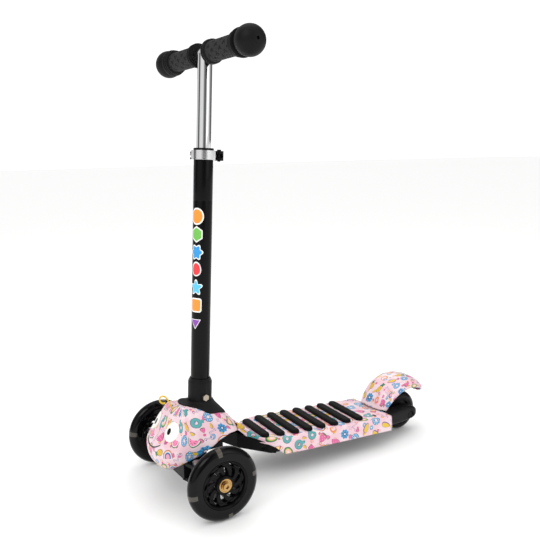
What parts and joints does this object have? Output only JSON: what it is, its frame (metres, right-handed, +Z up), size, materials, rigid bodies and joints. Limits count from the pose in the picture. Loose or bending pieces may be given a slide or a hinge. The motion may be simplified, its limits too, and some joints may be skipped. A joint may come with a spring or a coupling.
{
  "type": "kick scooter",
  "caption": "Child's lean-to-steer kick scooter with a printed deck, rubber grip strips, a press-down rear brake and a telescoping handlebar with a quick-release clamp.",
  "frame": {"origin": "on the ground, halfway along the length, in the middle plane", "axes": "-Y is forward, +X is the rider's left, +Z is up"},
  "size_m": [0.338, 0.5918, 0.7504],
  "materials": {
    "printed_plastic": "glossy moulded plastic with a colourful fruit and shape print on pale pink",
    "black_plastic": "fine-grained black nylon",
    "strip_rubber": "matte rubber",
    "grip_rubber": "soft matte rubber with leaf-shaped grooves",
    "zinc_steel": "zinc plated",
    "white_plastic": "gloss",
    "pupil_black": "gloss",
    "yellow_plastic": "satin",
    "black_paint": "gloss powder coat on steel",
    "polished_aluminium": "polished",
    "chrome": "bright chrome plate on steel",
    "brass_zinc": "yellow zinc passivate",
    "wheel_tyre": "glossy cast polyurethane",
    "wheel_core": "satin moulded nylon",
    "light_window": "clear smoked resin over a light module"
  },
  "bodies": {
    "chassis": {"front_shell": "printed_plastic", "deck_cover": "printed_plastic", "underframe": "black_plastic", "rear_fork": "black_plastic", "grip_strips": "strip_rubber", "deck_screws": "zinc_steel", "front_beam": "black_plastic", "beam_screws": "zinc_steel", "kingpins": "zinc_steel", "kingpin_nuts": "zinc_steel", "pivot_bolt": "zinc_steel", "pivot_nut": "zinc_steel", "centring_springs": "zinc_steel", "rubber_boot": "strip_rubber", "eye_discs": "white_plastic", "eye_pupils": "pupil_black", "top_loop": "yellow_plastic", "rear_axle_bolt": "zinc_steel", "rear_axle_nut": "zinc_steel", "brake_pin": "zinc_steel"},
    "steering_stem": {"stem_socket": "black_plastic", "socket_bolt": "zinc_steel", "socket_nut": "zinc_steel", "link_pin": "zinc_steel", "lower_stem_tube": "black_paint", "guide_bush": "black_plastic", "clamp_collar": "polished_aluminium", "clamp_bolt": "zinc_steel", "acorn_nut": "polished_aluminium", "pivot_bushes": "white_plastic"},
    "quick_release": {"clamp_lever": "black_plastic", "lever_pin": "black_plastic"},
    "handlebar": {"upper_stem_tube": "chrome", "crossbar": "chrome", "tube_plug": "black_plastic", "left_grip": "grip_rubber", "right_grip": "grip_rubber"},
    "tie_rod": {"tie_rod": "zinc_steel"},
    "left_wheel_carrier": {"left_knuckle": "black_plastic", "left_axle_bolt": "brass_zinc"},
    "right_wheel_carrier": {"right_knuckle": "black_plastic", "right_axle_bolt": "brass_zinc"},
    "left_front_wheel": {"left_tyre": "wheel_tyre", "left_core": "wheel_core", "left_bearings": "brass_zinc", "left_spacer": "zinc_steel", "left_lights": "light_window"},
    "right_front_wheel": {"right_tyre": "wheel_tyre", "right_core": "wheel_core", "right_bearings": "brass_zinc", "right_spacer": "zinc_steel", "right_lights": "light_window"},
    "rear_wheel": {"rear_tyre": "wheel_tyre", "rear_core": "wheel_core", "rear_bearings": "zinc_steel", "rear_spacer": "zinc_steel"},
    "brake": {"brake_fender": "printed_plastic", "brake_hinge": "black_plastic", "brake_shoe": "black_plastic", "brake_spring": "zinc_steel"}
  },
  "joints": [
    {"name": "stem_lean", "type": "hinge", "parent": "chassis", "child": "steering_stem", "pos_m": [0, -0.206, 0.098], "axis": [0, 1, 0], "range_deg": [-10, 10], "stiffness_Nm_per_rad": 40, "deforming": ["centring_springs", "rubber_boot"]},
    {"name": "left_steer", "type": "hinge", "parent": "chassis", "child": "left_wheel_carrier", "pos_m": [0.074, -0.246, 0.06], "axis": [0, 0, 1], "range_deg": [-12, 12]},
    {"name": "right_steer", "type": "hinge", "parent": "chassis", "child": "right_wheel_carrier", "pos_m": [-0.074, -0.246, 0.06], "axis": [0, 0, 1], "range_deg": [-12, 12]},
    {"name": "tie_rod_slide", "type": "slide", "parent": "chassis", "child": "tie_rod", "axis": [1, 0, 0], "range_m": [-0.0085, 0.0085]},
    {"name": "handlebar_height", "type": "slide", "parent": "steering_stem", "child": "handlebar", "axis": [0, 0.061, 0.9981], "range_m": [-0.12, 0.06]},
    {"name": "clamp_lever_swing", "type": "hinge", "parent": "steering_stem", "child": "quick_release", "pos_m": [-0.0089, -0.14464, 0.56462], "axis": [0, -0.061, -0.9981], "range_deg": [0, 140]},
    {"name": "left_front_spin", "type": "hinge", "parent": "left_wheel_carrier", "child": "left_front_wheel", "pos_m": [0.127, -0.228, 0.06], "axis": [1, 0, 0], "continuous": true},
    {"name": "right_front_spin", "type": "hinge", "parent": "right_wheel_carrier", "child": "right_front_wheel", "pos_m": [-0.127, -0.228, 0.06], "axis": [1, 0, 0], "continuous": true},
    {"name": "rear_spin", "type": "hinge", "parent": "chassis", "child": "rear_wheel", "pos_m": [0, 0.243, 0.04], "axis": [1, 0, 0], "continuous": true},
    {"name": "brake_press", "type": "hinge", "parent": "chassis", "child": "brake", "pos_m": [0, 0.185, 0.05], "axis": [-1, 0, 0], "range_deg": [0, 3], "stiffness_Nm_per_rad": 8, "springref_deg": -2.86}
  ],
  "couplings": [
    {"joint": "left_steer", "follows": "stem_lean", "ratio": 1.15},
    {"joint": "right_steer", "follows": "stem_lean", "ratio": 1.15},
    {"joint": "tie_rod_slide", "follows": "stem_lean", "m_per_rad": -0.046}
  ]
}
